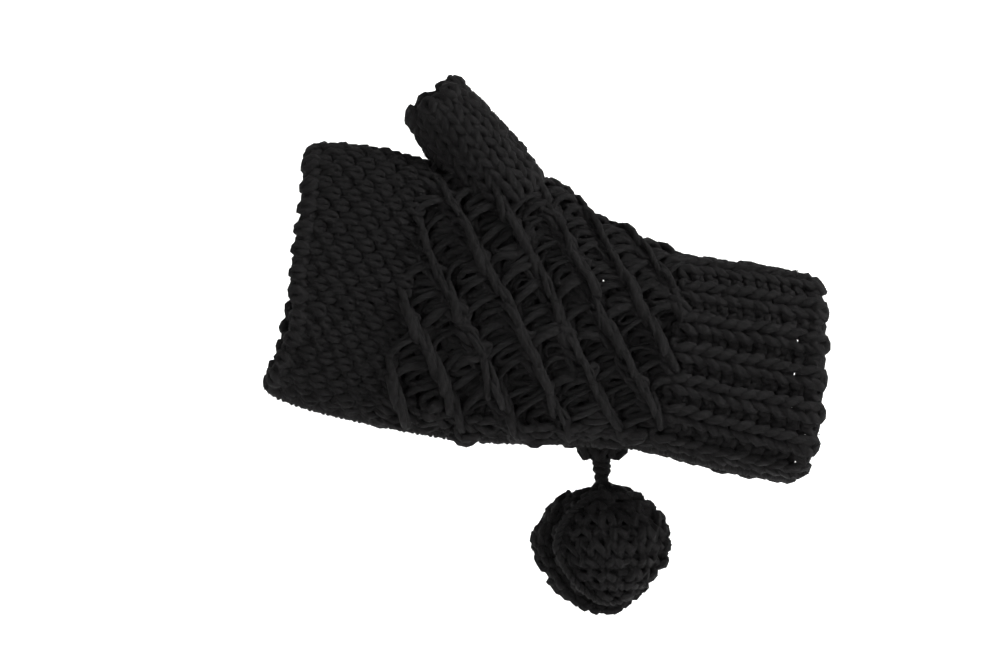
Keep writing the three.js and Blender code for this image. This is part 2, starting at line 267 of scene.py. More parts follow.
class Surface:
    """A surface point(along, angle) with evenly spaced shares of each section, and its normals."""

    def __init__(self, point, low, high, start, stop):
        self.point, self.low, self.high = point, low, high
        angles, shares = np.linspace(start, stop, 1441), np.linspace(0, 1, 361)
        table, lengths = [], []
        for along in np.linspace(low, high, 60):
            steps = np.linalg.norm(np.diff(point(np.full(len(angles), along), angles), axis=0), axis=1)
            run = np.concatenate([[0], np.cumsum(steps)])
            lengths.append(run[-1])
            table.append(np.interp(shares, run / run[-1], angles))
        self.table, self.lengths = np.array(table), np.array(lengths)
        middle, angle = np.array([(low + high) / 2]), np.array([start + 0.3 * (stop - start)])
        centre = point(np.full(90, middle[0]), np.linspace(start, stop, 90)).mean(0)
        self.sign = 1.0
        outwards = point(middle, angle) - centre
        self.sign = math.copysign(1, float(np.sum(self.normal(middle, angle) * outwards)))

    def around(self, along):
        return np.interp(along, np.linspace(self.low, self.high, len(self.lengths)), self.lengths)

    def angle(self, along, share):
        i = np.clip((along - self.low) / (self.high - self.low), 0, 1) * (self.table.shape[0] - 1)
        j = np.clip(share, 0, 1) * (self.table.shape[1] - 1)
        i0 = np.minimum(i.astype(int), self.table.shape[0] - 2)
        j0 = np.minimum(j.astype(int), self.table.shape[1] - 2)
        fi, fj, t = i - i0, j - j0, self.table
        return ((1 - fi) * ((1 - fj) * t[i0, j0] + fj * t[i0, j0 + 1])
                + fi * ((1 - fj) * t[i0 + 1, j0] + fj * t[i0 + 1, j0 + 1]))

    def normal(self, along, angle):
        a = self.point(along + 0.4, angle) - self.point(along - 0.4, angle)
        b = self.point(along, angle + 0.02) - self.point(along, angle - 0.02)
        return unit(np.cross(a, b)) * self.sign

    def lay(self, along, share, lift):
        """Points and normals where the fabric runs, lifted off the surface."""
        angle = self.angle(along, share)
        facing = self.normal(along, angle)
        return self.point(along, angle) + facing * lift[:, None], facing


# %% [markdown]
# ## Hand and thumb tubes
# The hand narrows from the palm to the wrist, and its open finger edge is drawn in a little
# towards the middle, as an edge with nothing pulling on it is. A plain cylinder would be
# simpler, but nearly all of the mitten's outline is in these few curves.

# %% The hand tube
THUMB_SIDE = [(-196, 39), (-190, 43.8), (-173, 45.8), (-152, 45.6), (-129, 46.6), (-111, 47.2),
              (-99, 42.6), (-88, 37.2), (-72, 32.8), (-57, 29.6), (-46, 30), (-29, 31), (0, 31)]
LITTLE_SIDE = [(-196, -40.5), (-190, -44), (-170, -46.6), (-129, -47.2), (-108, -45.2),
               (-82, -41.2), (-57, -38.8), (-29, -40.4), (0, -40.4)]
PALM_DEPTH = [(-196, 13.5), (-170, 15), (-129, 19), (-98, 20), (-57, 19), (-29, 21), (0, 23)]
BACK_DEPTH = [(-196, 13.5), (-170, 15), (-103, 15.5), (-77, 16.5), (-57, 17.5), (-29, 20), (0, 22)]
thumb_side, little_side = smooth(THUMB_SIDE), smooth(LITTLE_SIDE)
palm_depth, back_depth = smooth(PALM_DEPTH), smooth(BACK_DEPTH)
HALF_WALL = 1.8
DIP_START, DIP_REACH = -158, 34  # the finger edge's dip grows over this stretch
CUFF_START, RIM, RIM_LEAN = -57.0, -5.5, 0.1
slope = math.radians(10.6)
HAND_AXES = leant(slope)


def hand_point(along, angle):
    """Middle of the fabric; -90 degrees is the little finger's side and 90 the thumb's."""
    high, low = thumb_side(along), little_side(along)
    depth = np.where(np.cos(angle) > 0, back_depth(along), palm_depth(along)) - HALF_WALL
    across = (high + low) / 2 + ((high - low) / 2 - HALF_WALL) * bulge(np.sin(angle))
    leaning = RIM_LEAN * across * np.clip((along - CUFF_START) / (RIM - CUFF_START), 0, 1)
    near_edge = np.clip((DIP_START - along) / DIP_REACH, 0, 1) ** 1.5
    palm_dip = 4.5 * np.exp(-((across + 20) / 17) ** 2) + 1.5 * np.exp(-((across - 18) / 16) ** 2)
    back_dip = 7.0 * (1 - np.clip(np.abs(across) / 46, 0, 1) ** 4)
    on_back = np.clip(0.5 + 1.5 * np.cos(angle), 0, 1)
    drawn_in = near_edge * (palm_dip * (1 - on_back) + back_dip * on_back)
    return np.stack([along - leaning + drawn_in, depth * bulge(np.cos(angle)), across], -1) @ HAND_AXES


hand = Surface(hand_point, -196, 0, math.radians(-90), math.radians(270))
print("round the palm", round(float(hand.around(-129))), "mm")
print("round the wrist", round(float(hand.around(-30))), "mm")

# %% The thumb tube
THUMB_BASE = np.array([-136.2, -2, 50.1])
THUMB_HALF_WALL = 1.5
thumb_lean = math.radians(-49.5)
THUMB_AXES = leant(thumb_lean)
thumb_radius = smooth([(-16, 14.6), (0, 14.2), (12, 12.9), (24.5, 11)])


def thumb_point(height, angle):
    r = thumb_radius(height) - THUMB_HALF_WALL
    local = np.stack([r * np.cos(angle), r * np.sin(angle), height], -1)
    return (local @ THUMB_AXES + THUMB_BASE) @ HAND_AXES


def in_thumb(points, grow):
    """Whether points are inside the thumb tube, made wider by grow."""
    local = (points @ HAND_AXES.T - THUMB_BASE) @ THUMB_AXES.T
    inside = np.hypot(local[:, 0], local[:, 1]) < thumb_radius(local[:, 2]) + grow
    return inside & (local[:, 2] > -18)


def in_hand(points, grow):
    """Whether points are inside the hand tube's fabric, made wider by grow."""
    local = points @ HAND_AXES.T
    along, across = local[:, 0], local[:, 2]
    high, low = thumb_side(along), little_side(along)
    depth = np.where(local[:, 1] > 0, back_depth(along), palm_depth(along)) + grow
    return (np.abs(local[:, 1]) / depth) ** 2.5 + (
        np.abs(across - (high + low) / 2) / ((high - low) / 2 + grow)) ** 2.5 < 1


thumb = Surface(thumb_point, -26, 26, math.radians(-180), math.radians(180))
print("round the thumb", round(float(thumb.around(0))), "mm")

# %% [markdown]
# ## The stitch
# A knitted row is a wave of loops. Across the row the yarn swings out and back, which gives
# each loop its narrow neck; along the hand it climbs and falls; and in depth it dives behind
# the loop below and comes out in front of it, which is what holds the fabric together. A few
# sines and cosines say all that. A stitch differs from its neighbour only in a few numbers: whether
# it was pulled to the front or the back (knit or purl), how far it is raised, how far it
# leans, how tall it is, how narrow its neck is and how thick its yarn lies. Modelling every
# stitch by hand would give the same shapes, and no way to change the pattern.

# %% One row of stitches
YARN = 1.5  # radius
SAMPLES = 12  # points to a stitch
DIVE = 1.15  # how far a loop goes behind and in front of the fabric's middle
SPREAD = ((1, 0.25), (2, 0.09), (3, 0.05), (4, 0.02), (5, 0.05))  # chance in lift, lean, tall, neck, thick
WANDER = 0.35  # how far a whole row strays from its line
SHORTEST = 4  # a cut strand with no more points than this is left out


def stitch_row(count, height, pull=1.0, lift=0.0, lean=0.0, tall=0.85, neck=0.24, thick=1.0, close=0.0,
               uneven=1.0):
    """A row of count stitches: across in stitches, along and lift in millimetres, and thickness.

    close draws a loop's two legs together, until one lies over the other."""
    settings = [np.broadcast_to(np.asarray(v, float), (count,)).copy()
                for v in (pull, lift, lean, tall, neck, thick, close)]
    for i, amount in SPREAD:
        settings[i] = settings[i] + random.normal(0, amount * uneven, count)
    u = (np.arange(SAMPLES) + 0.5) / SAMPLES

    def ease(v):
        return np.clip(v, 0, 1) ** 2 * (3 - 2 * np.clip(v, 0, 1))

    left, right = 0.5 * ease((0.25 - u) / 0.25), 0.5 * ease((u - 0.75) / 0.25)

    def mixed(values):
        before = np.concatenate([values[:1], values[:-1]])[:, None]
        after = np.concatenate([values[1:], values[-1:]])[:, None]
        return (values[:, None] * (1 - left - right) + before * left + after * right).ravel()

    pull, lift, lean, tall, neck, thick, close = map(mixed, settings)
    t = np.tile(2 * math.pi * u - math.pi, count)
    across = np.repeat(np.arange(count) + 0.5, SAMPLES) + t / (2 * math.pi)
    across = across + neck * np.sin(2 * t) - close * np.sin(t) + lean * (np.cos(t) + 1) / 2
    along = tall * height * np.cos(t)
    depth = lift - pull * DIVE * np.cos(2 * t) + 4 * close * np.sin(t)
    return across, along, depth, thick * YARN


def kept(path, facing, thick, keep):
    """The stretches of a strand where keep is true."""
    edges = np.flatnonzero(np.diff(np.concatenate([[0], keep.astype(int), [0]])))
    return [(path[a:b], facing[a:b], thick[a:b]) for a, b in zip(edges[::2], edges[1::2])
            if b - a > SHORTEST]


def knit(surface, start, pitch, rows, count, pattern, margin=0.0, toward=1, span=(0, 1), yarn=1.0):
    """Rows of stitches on a surface from `start`, `pitch` apart.

    pattern(row, columns) gives a row's settings, and `toward` is 1 or -1, the way the loops point."""
    found = []
    for row in range(rows):
        stitches = count(row) if callable(count) else count
        across, along, depth, thick = stitch_row(stitches, pitch, **pattern(row, np.arange(stitches)))
        share = span[0] + (span[1] - span[0]) * (margin + (1 - 2 * margin) * across / stitches)
        wander = WANDER * np.sin(2 * math.pi * (share * random.integers(2, 6) + random.random()))
        position = start + toward * (pitch * (row + 0.5) + along + wander)
        path, facing = surface.lay(position, share, depth * yarn)
        found.append((path, facing, thick * yarn))
    return found


# %% [markdown]
# ## Ribbed cuff
# One knit column, one purl column: the knit ones stand up as ribs and the purl ones sink
# between them, and that makes the cuff elastic.

# %% Cuff
CUFF_STITCHES = 30
CUFF_ROWS = 10
SEAM_MARGIN = 0.012
CUFF_STOP = RIM - 2.6
cuff_pitch = (CUFF_STOP - CUFF_START) / CUFF_ROWS


def rib(row, column):
    knit_column = column % 2 == 0
    return {"pull": np.where(knit_column, 1.0, -0.8), "lift": np.where(knit_column, 0.9, -1.2),
            "neck": np.where(knit_column, 0.27, 0.14), "tall": np.where(knit_column, 0.9, 0.74),
            "close": np.where(knit_column, -0.09, 0.05), "thick": np.where(knit_column, 1.02, 1.06)}


cuff = yarn_piece("wrist_cuff_knit", knit(
    hand, CUFF_START, cuff_pitch, CUFF_ROWS, CUFF_STITCHES, rib, SEAM_MARGIN))


def edge_loops(row, column):
    raised = column % 2 == 0
    return {"pull": 1.0, "lift": np.where(raised, 0.7, -0.7), "tall": np.where(raised, 0.8, 0.5),
            "neck": 0.3, "thick": 1.12}


cast_on = yarn_piece("cuff_cast_on_yarn", knit(
    hand, CUFF_STOP - 1.4, 4.4, 1, CUFF_STITCHES, edge_loops, SEAM_MARGIN))

# %% [markdown]
# ## Openwork hand
# The pattern repeats over four stitches: a raised one, drawn close and leaning over its
# neighbours, a plain one, a yarn-over that leaves a hole, and one that leans back. Each row
# starts it one stitch further on, so the raised stitches join into chains that run aslant.
# Under the folded cap they are kept flatter, because the cap presses on them.

# %% Hand
BODY_STITCHES = 32
BODY_ROWS = 20
REPEAT = 4
PRESSED = 0.35  # share of a stitch's lift that is left under the cap
IN_THUMB = -2.5  # rows stop this far inside the thumb tube
BODY_START, BODY_END = -154.4, -57.0
body_pitch = (BODY_END - BODY_START) / BODY_ROWS


def openwork(row, column):
    step = (column - row) % REPEAT
    edge = (column < 1) | (column >= BODY_STITCHES - 2)
    under_cap = (column > 4) & (column < 13)

    def choose(raised, plain, hole, back, side):
        return np.where(edge, side, np.choose(step, (raised, plain, hole, back)))

    lift = choose(1.8, -0.4, -1.0, -0.2, 0.2)
    return {"lift": np.where(under_cap, lift * PRESSED, lift), "lean": choose(1.85, 0.75, -0.9, -1.2, 0.0),
            "tall": choose(0.8, 1.0, 1.0, 1.1, 0.85), "neck": choose(0.12, 0.2, 0.16, 0.12, 0.24),
            "thick": choose(0.72, 0.82, 0.92, 0.8, 1.0), "pull": choose(0.8, 1.1, 0.8, 1.1, 1.0),
            "close": choose(0.13, -0.04, 0.05, 0.12, 0.0), "uneven": 3.4}


body_rows = knit(hand, BODY_START, body_pitch, BODY_ROWS, BODY_STITCHES, openwork, SEAM_MARGIN)
body_strands = []
for path, facing, thick in body_rows:
    body_strands += kept(path, facing, thick, ~in_thumb(path, IN_THUMB))
body = yarn_piece("hand_body_knit", body_strands, sides=8, fuzz=4.4)

# %% [markdown]
# ## Strands behind the openwork
# A fabric of this kind carries yarn behind the loops too. Two loose strands to each row close
# most of the hollows without hiding them. A dark lining would close them all, but a mitten
# like this has none.

# %% Carried strands
CARRIED_DEPTH, CARRIED_THICK, CARRIED_SAMPLES = -2.6, 1.6, 200
carried_strands = []
for row in range(2 * BODY_ROWS):
    share = np.linspace(SEAM_MARGIN, 1 - SEAM_MARGIN, CARRIED_SAMPLES)
    sway = np.sin(math.pi * (share * BODY_STITCHES + row)) + 0.4 * np.sin(2 * math.pi * share * 11 + row)
    path, facing = hand.lay(BODY_START + body_pitch * (row / 2 + 0.25 + 0.22 * sway), share,
                            CARRIED_DEPTH + 0.4 * np.cos(math.pi * share * BODY_STITCHES))
    thick = np.full(CARRIED_SAMPLES, CARRIED_THICK)
    carried_strands += kept(path, facing, thick, ~in_thumb(path, IN_THUMB))
carried = yarn_piece("hand_body_carried_strands", carried_strands, sides=6, fuzz=1.5)

# %% [markdown]
# ## Finger band and its edge
# The open band is in moss stitch: knit and purl change places at every stitch and every row,
# which gives even little bumps and an edge that doesn't curl.

# %% Band
BAND_STITCHES = 48
BAND_ROWS = 10
BAND_START = -191.6
band_pitch = (BODY_START - BAND_START) / BAND_ROWS


def moss(row, column):
    front = (column + row) % 2 == 0
    return {"pull": np.where(front, 1.0, -0.9), "lift": np.where(front, 0.3, -0.2),
            "tall": 0.85, "neck": 0.2}


band = yarn_piece("finger_band_knit", knit(
    hand, BAND_START, band_pitch, BAND_ROWS, BAND_STITCHES, moss, SEAM_MARGIN, yarn=0.8), sides=8, fuzz=5)
cast_off = yarn_piece("finger_cast_off_yarn", knit(
    hand, BAND_START + 0.8, 3.6, 1, BAND_STITCHES, edge_loops, 0.004, toward=-1, yarn=0.92))

# %% [markdown]
# ## Thumb
# Stitches picked up round the thumb hole, then plain knitting to an open end. The rows below
# the joint are laid on the thumb tube too; the ones inside the hand are cut off where the fabrics meet.

# %% Thumb
THUMB_STITCHES = 14
THUMB_PITCH = 4.7
THUMB_START, THUMB_ROWS = -19.6, 9
GUSSET_ROWS = 6
IN_HAND = -2.8  # gusset rows are cut this far inside the hand's fabric


def plain_knit(row, column):
    return {"pull": 1.0, "tall": 0.85, "neck": 0.25}


thumb_rows = knit(thumb, THUMB_START, THUMB_PITCH, THUMB_ROWS, THUMB_STITCHES, plain_knit)
gusset_strands = []
for path, facing, thick in thumb_rows[:GUSSET_ROWS]:
    gusset_strands += kept(path, facing, thick, ~in_hand(path, IN_HAND))
gusset = yarn_piece("thumb_gusset_knit", gusset_strands)
sleeve = yarn_piece("thumb_sleeve_knit", thumb_rows[GUSSET_ROWS:])
thumb_off = yarn_piece("thumb_cast_off_yarn", knit(thumb, 20.8, 3.6, 1, THUMB_STITCHES, edge_loops))

# %% [markdown]
# ## Side seam
# The flat-knitted hand is closed along the little finger's side. The whipping is drawn as
# three yarns wound round each other, which lie in the join.

# %% Seam
SEAM_POINTS = 420
seam_along = np.linspace(-193.5, -7.5, SEAM_POINTS)
seam_line, seam_facing = hand.lay(seam_along, np.zeros(SEAM_POINTS), np.full(SEAM_POINTS, 0.3))
seam = yarn_piece("side_seam_yarn", twisted(
    seam_line, seam_facing, wide=2.1, deep=1.3, pitch=6.8, thick=1.4, count=3))

# %% [markdown]
# ## Cap
# A flat pocket, folded back over the knuckles. Its sections are given by their two ends (the
# thumb's side and the little finger's side) and a depth, from the hinge to the gathered tip.

# %% Cap surface
CAP_ORIGIN = np.array([-168.45, 18.6, 29.49])
cap_lean = math.radians(16.6)
CAP_AXES = leant(cap_lean)
CAP_MIDDLE = 5.0
CAP_SECTIONS = [  # the thumb's side (along, across), the little finger's side, and half the depth
    (1.7, 40, 1.7, -40, 5.0), (14, 39.6, 14, -39.8, 5.0), (32, 38.5, 32, -39.5, 5.0),
    (48, 36.2, 48, -38, 5.0), (64, 33, 64, -36, 5.0), (76, 28.6, 76, -33.4, 5.0),
    (86, 24, 86, -29.8, 5.0), (95.5, 17, 95.5, -26, 5.0),
    (104, 9, 97, -25.4, 4.7), (110, 0, 97.5, -25.9, 4.4), (113.6, -11, 98, -26.5, 4.0),
    (115.8, -20, 98.6, -26.8, 3.6), (115.6, -26.2, 101.6, -30.4, 3.2), (113.4, -30, 105.8, -32.3, 2.2)]
sections = np.array(CAP_SECTIONS)
steps = np.linalg.norm(np.diff((sections[:, :2] + sections[:, 2:4]) / 2, axis=0), axis=1)
cap_run = sections[0, 0] + np.concatenate([[0], np.cumsum(steps)])
cap_curves = [smooth(list(zip(cap_run, column))) for column in sections.T]
print("cap is", round(float(cap_run[-1]), 1), "mm from hinge to tip")


def cap_point(along, angle):
    outer_x, outer_z, inner_x, inner_z, depth = (curve(along) for curve in cap_curves)
    mix = (1 + np.cos(angle)) / 2
    local = np.stack([inner_x + (outer_x - inner_x) * mix, CAP_MIDDLE + depth * bulge(np.sin(angle)),
                      inner_z + (outer_z - inner_z) * mix], -1)
    return local @ CAP_AXES + CAP_ORIGIN


cap_surface = Surface(cap_point, cap_run[0], cap_run[-1], math.radians(180), math.radians(540))

# %% [markdown]
# The cap is knitted on from a few rows behind the knuckles, which only cover the back; then
# its mouth rib goes all the way round. The pocket is plain, and its last rounds have fewer
# and fewer stitches until the end is drawn together.

# %% Cap knitting
CAP_STITCHES = 24
CAP_PITCH = 5.15
MOUTH = 10.0
RIB_ROWS = 2
POCKET_ROWS, FULL_ROWS = 14, 11
BACK_HALF, PALM_HALF = (0, 0.5), (0.5, 1)  # shares of the way round the cap


def pocket_stitches(row):
    return CAP_STITCHES if row < FULL_ROWS else max(10, CAP_STITCHES - 2 * (row - FULL_ROWS + 1))


def gather_stitches(row):
    return max(5, 14 - 2 * row)


rib_start = MOUTH + 1.2
pocket_start = rib_start + RIB_ROWS * CAP_PITCH
gather_start = pocket_start + POCKET_ROWS * CAP_PITCH
gather_count = int((cap_run[-1] - gather_start) / 4.6)
gather_pitch = (cap_run[-1] - gather_start) / gather_count
hinge_rows = knit(cap_surface, 0.4, CAP_PITCH, 2, CAP_STITCHES // 2, plain_knit, 0.02, span=BACK_HALF)
rib_rows = knit(cap_surface, rib_start, CAP_PITCH, RIB_ROWS, CAP_STITCHES, rib)
pocket_rows = knit(cap_surface, pocket_start, CAP_PITCH, POCKET_ROWS, pocket_stitches, plain_knit)
gather_rows = knit(cap_surface, gather_start, gather_pitch, gather_count, gather_stitches, plain_knit)
cap_hinge_rows = yarn_piece("cap_first_rows_knit", hinge_rows)
mouth_rib = yarn_piece("cap_mouth_rib_knit", rib_rows + knit(
    cap_surface, MOUTH - 2.4, 4.0, 1, CAP_STITCHES // 2, edge_loops, 0.01, span=PALM_HALF))
pocket = yarn_piece("cap_pocket_knit", pocket_rows)
gathered = yarn_piece("cap_gathered_knit", gather_rows)

# %% [markdown]
# The cap is sewn to the band across the knuckles with one overcast yarn: a coil whose turns
# go through both fabrics.

# %% Hinge stitches
HINGE_REACH, HINGE_STITCH, HINGE_YARN = 36, 5.6, 1.25
hinge_across = np.linspace(-HINGE_REACH, HINGE_REACH, 500)
winding = 2 * math.pi * hinge_across / HINGE_STITCH
hinge_local = np.stack([0.6 + 2.6 * np.sin(winding), -2.0 + 1.9 * np.cos(winding), hinge_across], -1)
hinge_path = hinge_local @ CAP_AXES + CAP_ORIGIN
hinge_facing = np.tile([0.0, 1.0, 0.0], (len(hinge_across), 1))
hinge_thick = np.full(len(hinge_across), HINGE_YARN)
hinge_seam = yarn_piece("cap_hinge_seam_yarn", [(hinge_path, hinge_facing, hinge_thick)])

# %% [markdown]
# ## Bobble
# Two crocheted cups sewn to a crocheted disc, stuffed with yarn scraps. Crochet stitches are
# shorter and tighter than knitted ones, so the same loops are laid closer and dive deeper.
# The front cup doesn't reach the disc's rim, and one bright yarn runs along its edge.

# %% Bobble
BALL = np.array([-72.2, 23.6, -63.8])
CROCHET = 0.8  # share of the knitting yarn's thickness
CROCHET_STITCH = 5.2
NARROWING, NARROWEST = 0.0145, 0.7


def crochet(row, column):
    return {"pull": 1.35, "lift": np.where((row + column) % 2 == 0, 0.6, -0.4), "tall": 0.56, "neck": 0.36,
            "thick": 1.16, "lean": 0.35, "uneven": 2.8}


def hung(offset):
    """A point of the bobble from its offset: the lower half narrows to a soft point."""
    narrow = np.clip(1 - NARROWING * np.maximum(1 - offset[..., 2], 0), NARROWEST, 1)
    return BALL + np.stack([offset[..., 0] * narrow, offset[..., 1], offset[..., 2]], -1)


def cup(size, pole, shift):
    """A cup point(along, angle): along is degrees from the pole, which is 'up' or 'out'."""
    def point(along, angle):
        tilt = np.radians(along)
        to_pole, to_side, to_rim = np.cos(tilt), np.sin(tilt) * np.cos(angle), np.sin(tilt) * np.sin(angle)
        axes = (to_side, to_rim, to_pole) if pole == "up" else (to_side, to_pole, to_rim)
        return hung(np.stack(axes, -1) * size + shift)
    return point


def rounds(surface, start, stop, rows):
    """Crochet rounds, each with as many stitches as it has room for."""
    pitch = (stop - start) / rows

    def room(row):
        return max(4, round(float(surface.around(start + pitch * (row + 0.5))) / CROCHET_STITCH))

    return knit(surface, start, pitch, rows, room, crochet, yarn=CROCHET)


FULL_TURN = 2 * math.pi
front = Surface(cup(np.array([20.0, 15.0, 18.6]), "up", (2.4, -1.8, 1.4)), 6, 174, math.pi, FULL_TURN)
edge_turn = np.radians(np.linspace(80, 310, 240))
edge_path = hung(np.stack([1.6 + 21.2 * np.cos(edge_turn), -8.4 + 3 * np.cos(edge_turn),
                           0.6 + 19.0 * np.sin(edge_turn)], -1))
edge_strands = twisted(edge_path, np.tile(TOWARDS_PALM, (len(edge_path), 1)),
                       wide=0.6, deep=0.6, pitch=5.0, thick=0.8, count=2)
front_cup = yarn_piece("bobble_front_cup_crochet", rounds(front, 8, 172, 11) + edge_strands)
back = Surface(cup(np.array([22.5, 13.6, 20.4]), "out", (0, 1.6, 0)), 4, 90, 0, FULL_TURN)
back_cup = yarn_piece("bobble_back_cup_crochet", rounds(back, 6, 90, 6), sides=8)

# %% Disc between the cups
def disc_point(along, angle):
    """Flat, and drawn down to the same soft point as the cups."""
    return hung(np.stack([along * np.cos(angle) + 0.9, 0 * angle, along * 0.93 * np.sin(angle) - 0.8], -1))


def scallops(row, column):
    return {"pull": 1.0, "lift": 0.3, "tall": 0.8, "neck": 0.3, "thick": 1.1, "uneven": 1.6}


DISC_PITCH = 4.3
disc = Surface(disc_point, 12, 27, 0, FULL_TURN)
rim_disc = yarn_piece("bobble_rim_disc_crochet", knit(disc, 14.0, DISC_PITCH, 2, 32, scallops, yarn=CROCHET)
                      + knit(disc, 16.6, DISC_PITCH, 1, 30, scallops, yarn=CROCHET), sides=8)

# %% Collar, knot and stuffing
def collar_point(along, angle):
    """A little cone where the cord goes into the bobble."""
    cone = [(1.1 + 0.12 * along**2) * np.cos(angle), (1.1 + 0.08 * along**2) * np.sin(angle), -along]
    return np.stack(cone, -1) + CORD_EXIT + [0.3, 0, -3.6]


def collar_stitches(row):
    return 4 + 2 * row


collar = Surface(collar_point, 0, 7, 0, FULL_TURN)
collar_yarn = yarn_piece("bobble_collar_crochet", knit(
    collar, 0.4, 3.4, 2, collar_stitches, crochet, yarn=CROCHET))

KNOT_TURNS, KNOT_RADIUS, KNOT_YARN = 3.2, 2.2, 1.15
knot_turn = np.linspace(0, FULL_TURN * KNOT_TURNS, 120)
knot_out = np.stack([np.cos(knot_turn), np.sin(knot_turn), 0 * knot_turn], -1)
knot_path = CORD_EXIT + knot_out * KNOT_RADIUS - DOWN * np.linspace(5.8, -0.6, len(knot_turn))[:, None]
knot = yarn_piece("cord_knot_yarn", [(knot_path, knot_out, np.full(len(knot_turn), KNOT_YARN))])

WINDS, WIND_DRIFT, SCRAP = 22, 0.121, 1.3
STUFFED = [13.5, 10.5, 12.5]
wind = np.linspace(0, FULL_TURN * WINDS, 900)
wound = np.stack([np.cos(wind) * np.cos(wind * WIND_DRIFT), np.sin(wind),
                  np.cos(wind) * np.sin(wind * WIND_DRIFT)], -1)
scraps = [(BALL + wound * STUFFED, unit(wound), np.full(len(wind), SCRAP))]
stuffing = yarn_piece("bobble_stuffing_yarn", scraps, sides=6, fuzz=0.3)

# %% [markdown]
# ## Black wool
# Dyed wool is never quite black, and its fibres differ a little in tone. The colour also carries
# painted highlights along the fibres and painted shade in the grooves between the plies. One node
# group draws the fibres in the yarn's own coordinates, so they follow every loop, and each finish
# places it with its own values. A plain dark colour with a rough bump would do from far away, but close to it
# looks like rubber.

# %% Fibre node group
SPIRAL = 0.91  # turns that the fibres make round the yarn in a centimetre of it


def fibre_group():
    group = bpy.data.node_groups.new("wool_fibres", "ShaderNodeTree")
    side = group.interface
    for name, kind, value in (("Dark Tone and Painted Shade", "NodeSocketColor", (0.0008, 0.0007, 0.0007, 1)),
                              ("Bright", "NodeSocketColor", (0.0105, 0.0097, 0.0102, 1)),
                              ("Fineness", "NodeSocketFloat", 10.0)):
        side.new_socket(name, in_out="INPUT", socket_type=kind).default_value = value
    for name, kind in (("Color", "NodeSocketColor"), ("Roughness", "NodeSocketFloat"),
                       ("Height", "NodeSocketFloat")):
        side.new_socket(name, in_out="OUTPUT", socket_type=kind)
    nodes, link = group.nodes, group.links.new
    given, made = nodes.new("NodeGroupInput"), nodes.new("NodeGroupOutput")

    def calculate(operation, a, b):
        node = nodes.new("ShaderNodeMath")
        node.operation = operation
        for i, value in enumerate((a, b)):
            if isinstance(value, (int, float)):
                node.inputs[i].default_value = value
            else:
                link(value, node.inputs[i])
        return node.outputs[0]

    yarn_map = nodes.new("ShaderNodeUVMap")
    yarn_map.uv_map = "yarn"
    split = nodes.new("ShaderNodeSeparateXYZ")
    link(yarn_map.outputs["UV"], split.inputs[0])
    wound_round = calculate("SUBTRACT", split.outputs["Y"], calculate("MULTIPLY", split.outputs["X"], SPIRAL))
    joined = nodes.new("ShaderNodeCombineXYZ")
    link(calculate("MULTIPLY", split.outputs["X"], 0.9), joined.inputs["X"])
    link(calculate("MULTIPLY", wound_round, given.outputs["Fineness"]), joined.inputs["Y"])
    fibres = nodes.new("ShaderNodeTexNoise")
    fibres.inputs["Scale"].default_value = 4.0
    fibres.inputs["Detail"].default_value = 3.0
    fibres.inputs["Roughness"].default_value = 0.65
    link(joined.outputs[0], fibres.inputs["Vector"])
    plies = calculate("COSINE", calculate("MULTIPLY", wound_round, 2 * math.pi * PLIES), 0)
    place = nodes.new("ShaderNodeTexCoord")
    patches = nodes.new("ShaderNodeTexNoise")
    patches.inputs["Scale"].default_value = 90.0
    link(place.outputs["Object"], patches.inputs["Vector"])
    # Fibre streaks are random tone with painted highlights along the fibres; the ply term is painted shade in
    # the grooves between plies; the patches are random tone.
    streaks = calculate("MULTIPLY", fibres.outputs["Fac"], 1.5)
    shade = calculate("ADD", streaks, calculate("MULTIPLY", plies, 0.14))
    shade = calculate("ADD", shade, calculate("MULTIPLY", patches.outputs["Fac"], 0.5))
    span = nodes.new("ShaderNodeMapRange")
    span.inputs["From Min"].default_value, span.inputs["From Max"].default_value = 0.72, 1.5
    link(shade, span.inputs["Value"])
    mixed = nodes.new("ShaderNodeMix")
    mixed.data_type = "RGBA"
    link(span.outputs[0], mixed.inputs["Factor"])
    link(given.outputs["Dark Tone and Painted Shade"], mixed.inputs["A"])
    link(given.outputs["Bright"], mixed.inputs["B"])
    link(mixed.outputs["Result"], made.inputs["Color"])
    smoother = calculate("MULTIPLY", fibres.outputs["Fac"], 0.3)
    link(calculate("SUBTRACT", 0.95, smoother), made.inputs["Roughness"])
    link(calculate("ADD", fibres.outputs["Fac"], calculate("MULTIPLY", plies, 0.2)), made.inputs["Height"])
    return group


FIBRES = fibre_group()


SHEEN_TINT = (0.06, 0.056, 0.058, 1)


def wool(name, bright=0.0062, fineness=12.0, sheen=0.085):
    """A finish of the same black wool: how light its fibres' tone and painted highlights are, and how many
    lie side by side.
    """
    material = bpy.data.materials.new(name)
    material.use_nodes = True
    nodes, link = material.node_tree.nodes, material.node_tree.links.new
    shader = nodes["Principled BSDF"]
    group = nodes.new("ShaderNodeGroup")
    group.node_tree = FIBRES
    group.inputs["Bright"].default_value = (bright, bright * 0.93, bright * 0.97, 1)
    group.inputs["Fineness"].default_value = fineness
    bump = nodes.new("ShaderNodeBump")
    bump.inputs["Strength"].default_value = 0.9
    bump.inputs["Distance"].default_value = 0.0008
    link(group.outputs["Color"], shader.inputs["Base Color"])
    link(group.outputs["Roughness"], shader.inputs["Roughness"])
    link(group.outputs["Height"], bump.inputs["Height"])
    link(bump.outputs["Normal"], shader.inputs["Normal"])
    shader.inputs["Specular IOR Level"].default_value = 0.1
    shader.inputs["Sheen Weight"].default_value = sheen
    shader.inputs["Sheen Roughness"].default_value = 0.45
    shader.inputs["Sheen Tint"].default_value = SHEEN_TINT
    return material


